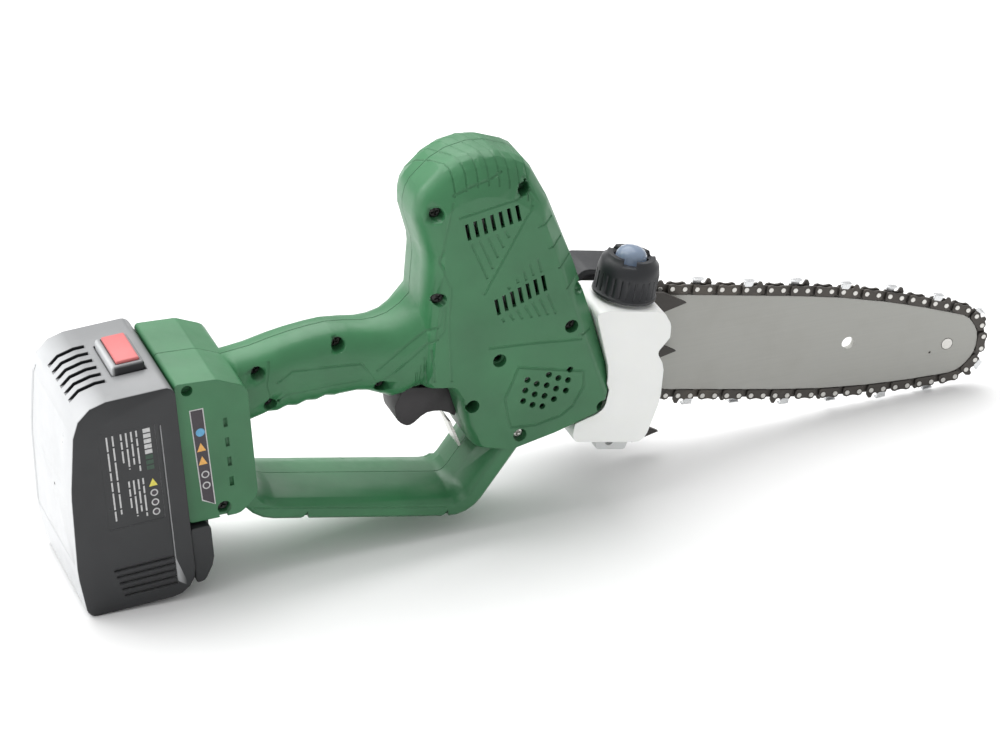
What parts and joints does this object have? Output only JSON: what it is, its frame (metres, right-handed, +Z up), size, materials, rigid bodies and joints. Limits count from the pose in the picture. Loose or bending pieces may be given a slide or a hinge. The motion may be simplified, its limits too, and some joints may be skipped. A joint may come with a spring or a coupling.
{
  "type": "cordless mini chainsaw",
  "caption": "Battery mini chainsaw: closed plastic grip with hand guard, leaning motor head, oil tank, spiked guide bar with cutting chain, slide-on battery.",
  "frame": {"origin": "under the middle of the saw's box, on the surface it stands on", "axes": "+X towards the tip of the bar, +Y to the operator's left (the bar side), +Z up"},
  "size_m": [0.4936, 0.0856, 0.1927],
  "materials": {
    "green_plastic": "moulded, fine grain",
    "black_plastic": "moulded, satin",
    "red_plastic": "satin",
    "white_polyethylene": "blow-moulded, waxy",
    "clear_rubber": "soft, clear blue",
    "bright_steel": "plated",
    "dark_steel": "blackened",
    "ground_steel": "ground",
    "cast_aluminium": "cast",
    "cell_wrap": "shrink wrapped",
    "circuit_board": "lacquered"
  },
  "bodies": {
    "saw": {"bar_stud": "bright_steel", "base_screw_1": "bright_steel", "bearing_inner": "bright_steel", "bearing_outer": "bright_steel", "bumper_spikes": "dark_steel", "control_board": "circuit_board", "gear_case": "cast_aluminium", "guard_strip": "bright_steel", "guide_bar": "ground_steel", "guide_plate": "bright_steel", "housing_left": "green_plastic", "housing_right": "green_plastic", "housing_screw_1": "bright_steel", "housing_screw_2": "bright_steel", "housing_screw_3": "bright_steel", "housing_screw_4": "bright_steel", "housing_screw_5": "bright_steel", "housing_screw_6": "bright_steel", "housing_screw_7": "bright_steel", "housing_screw_8": "bright_steel", "housing_screw_9": "bright_steel", "motor_bearing": "bright_steel", "motor_can": "dark_steel", "nose_rivet": "ground_steel", "oil_tank": "white_polyethylene", "saw_chain": "dark_steel", "sprocket_cover": "black_plastic", "switch_body": "black_plastic", "tank_bracket": "cast_aluminium", "tensioner_pin": "bright_steel", "terminal_block": "black_plastic"},
    "drive": {"output_shaft": "bright_steel", "ring_gear": "bright_steel", "drive_sprocket": "dark_steel"},
    "rotor": {"rotor_shaft": "bright_steel", "bevel_pinion": "bright_steel", "cooling_fan": "black_plastic"},
    "nose_wheel": {"nose_sprocket": "bright_steel"},
    "trigger": {"trigger": "black_plastic", "trigger_spring": "bright_steel"},
    "lock_button": {"lock_off_button": "black_plastic"},
    "battery": {"battery_shell": "black_plastic", "battery_rail": "black_plastic", "cell_1": "cell_wrap", "cell_2": "cell_wrap", "cell_3": "cell_wrap", "cell_4": "cell_wrap", "cell_5": "cell_wrap", "cell_6": "cell_wrap", "cell_7": "cell_wrap", "cell_8": "cell_wrap", "cell_9": "cell_wrap", "cell_10": "cell_wrap"},
    "latch": {"latch_button": "black_plastic", "latch_insert": "red_plastic"},
    "cap": {"tank_cap": "black_plastic"},
    "bulb": {"pump_bulb": "clear_rubber"},
    "nut": {"bar_nut": "bright_steel"},
    "tension_screw": {"tensioner_screw": "bright_steel"}
  },
  "joints": [
    {"name": "drive_spin", "type": "hinge", "parent": "saw", "child": "drive", "pos_m": [-0.0123, -0.00675, 0.0705], "axis": [0, 1, 0], "continuous": true},
    {"name": "rotor_spin", "type": "hinge", "parent": "saw", "child": "rotor", "pos_m": [-0.0123, -0.00675, 0.0705], "axis": [-0.3299, 0, 0.944], "continuous": true},
    {"name": "nose_spin", "type": "hinge", "parent": "saw", "child": "nose_wheel", "pos_m": [0.22369, 0.01925, 0.02574], "axis": [0, 1, 0], "continuous": true},
    {"name": "trigger_press", "type": "slide", "parent": "saw", "child": "trigger", "axis": [0.1864, 0, 0.9825], "range_m": [0, 0.006], "stiffness_N_per_m": 700, "springref_m": -0.004},
    {"name": "lock_press", "type": "slide", "parent": "saw", "child": "lock_button", "axis": [0, -1, 0], "range_m": [0, 0.0018], "stiffness_N_per_m": 600, "springref_m": -0.001},
    {"name": "battery_slide", "type": "slide", "parent": "saw", "child": "battery", "axis": [0.0691, 0, -0.9976], "range_m": [0, 0.09]},
    {"name": "latch_press", "type": "slide", "parent": "battery", "child": "latch", "axis": [0.0691, 0, -0.9976], "range_m": [0, 0.0022], "stiffness_N_per_m": 900, "springref_m": -0.002},
    {"name": "cap_turn", "type": "hinge", "parent": "saw", "child": "cap", "pos_m": [0.03391, -0.01175, 0.10754], "axis": [0.1864, 0, 0.9825], "range_deg": [0, 360]},
    {"name": "bulb_press", "type": "slide", "parent": "cap", "child": "bulb", "axis": [-0.1864, 0, -0.9825], "range_m": [0, 0.0025], "stiffness_N_per_m": 500, "springref_m": -0.001},
    {"name": "nut_turn", "type": "hinge", "parent": "saw", "child": "nut", "pos_m": [0.03093, 0.03925, 0.0623], "axis": [0, 1, 0], "range_deg": [0, 360]},
    {"name": "tension_turn", "type": "hinge", "parent": "saw", "child": "tension_screw", "pos_m": [0.04879, 0.02775, 0.07062], "axis": [0.9825, 0, -0.1864], "range_deg": [0, 360]}
  ],
  "couplings": [
    {"joint": "rotor_spin", "follows": "drive_spin", "ratio": -3},
    {"joint": "nose_spin", "follows": "drive_spin", "ratio": 0.7}
  ]
}
